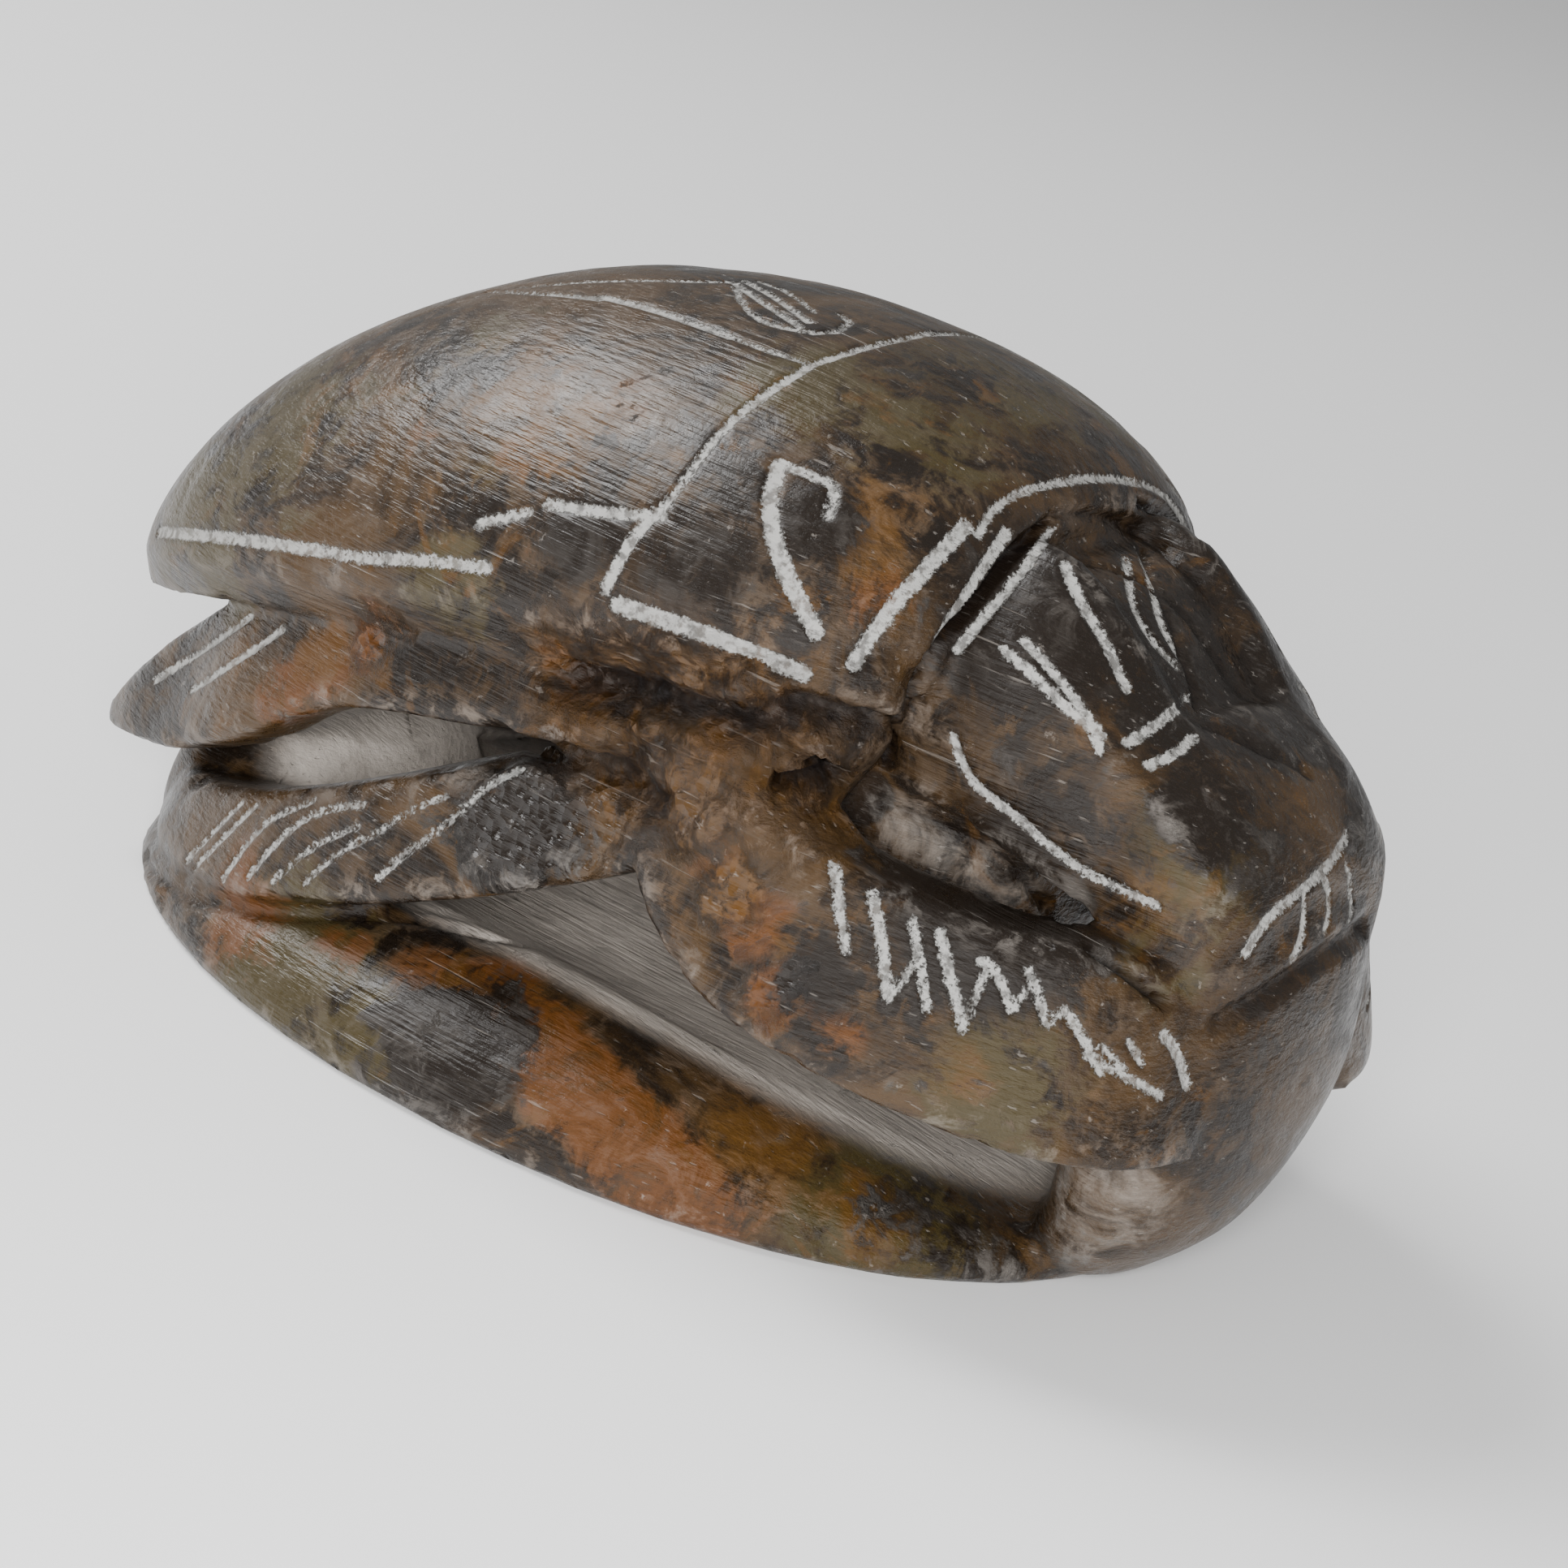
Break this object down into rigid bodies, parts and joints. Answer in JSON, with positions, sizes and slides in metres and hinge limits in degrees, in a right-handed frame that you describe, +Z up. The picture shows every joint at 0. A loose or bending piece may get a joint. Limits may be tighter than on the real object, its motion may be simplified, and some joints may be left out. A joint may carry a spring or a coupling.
{
  "type": "carved stone scarab",
  "caption": "Scarab beetle carved from one stone, with a domed shell, a ridged head and pierced legs standing on an oval base slab.",
  "frame": {"origin": "centre of the flat underside of the base slab", "axes": "+X towards the head, along the body; +Y towards the beetle's left side; +Z up, away from the underside"},
  "size_m": [0.087, 0.054, 0.0496],
  "materials": {
    "stone": "waxed, satin, with chalky engraved strokes"
  },
  "bodies": {
    "root": {"scarab": "stone"}
  },
  "joints": []
}
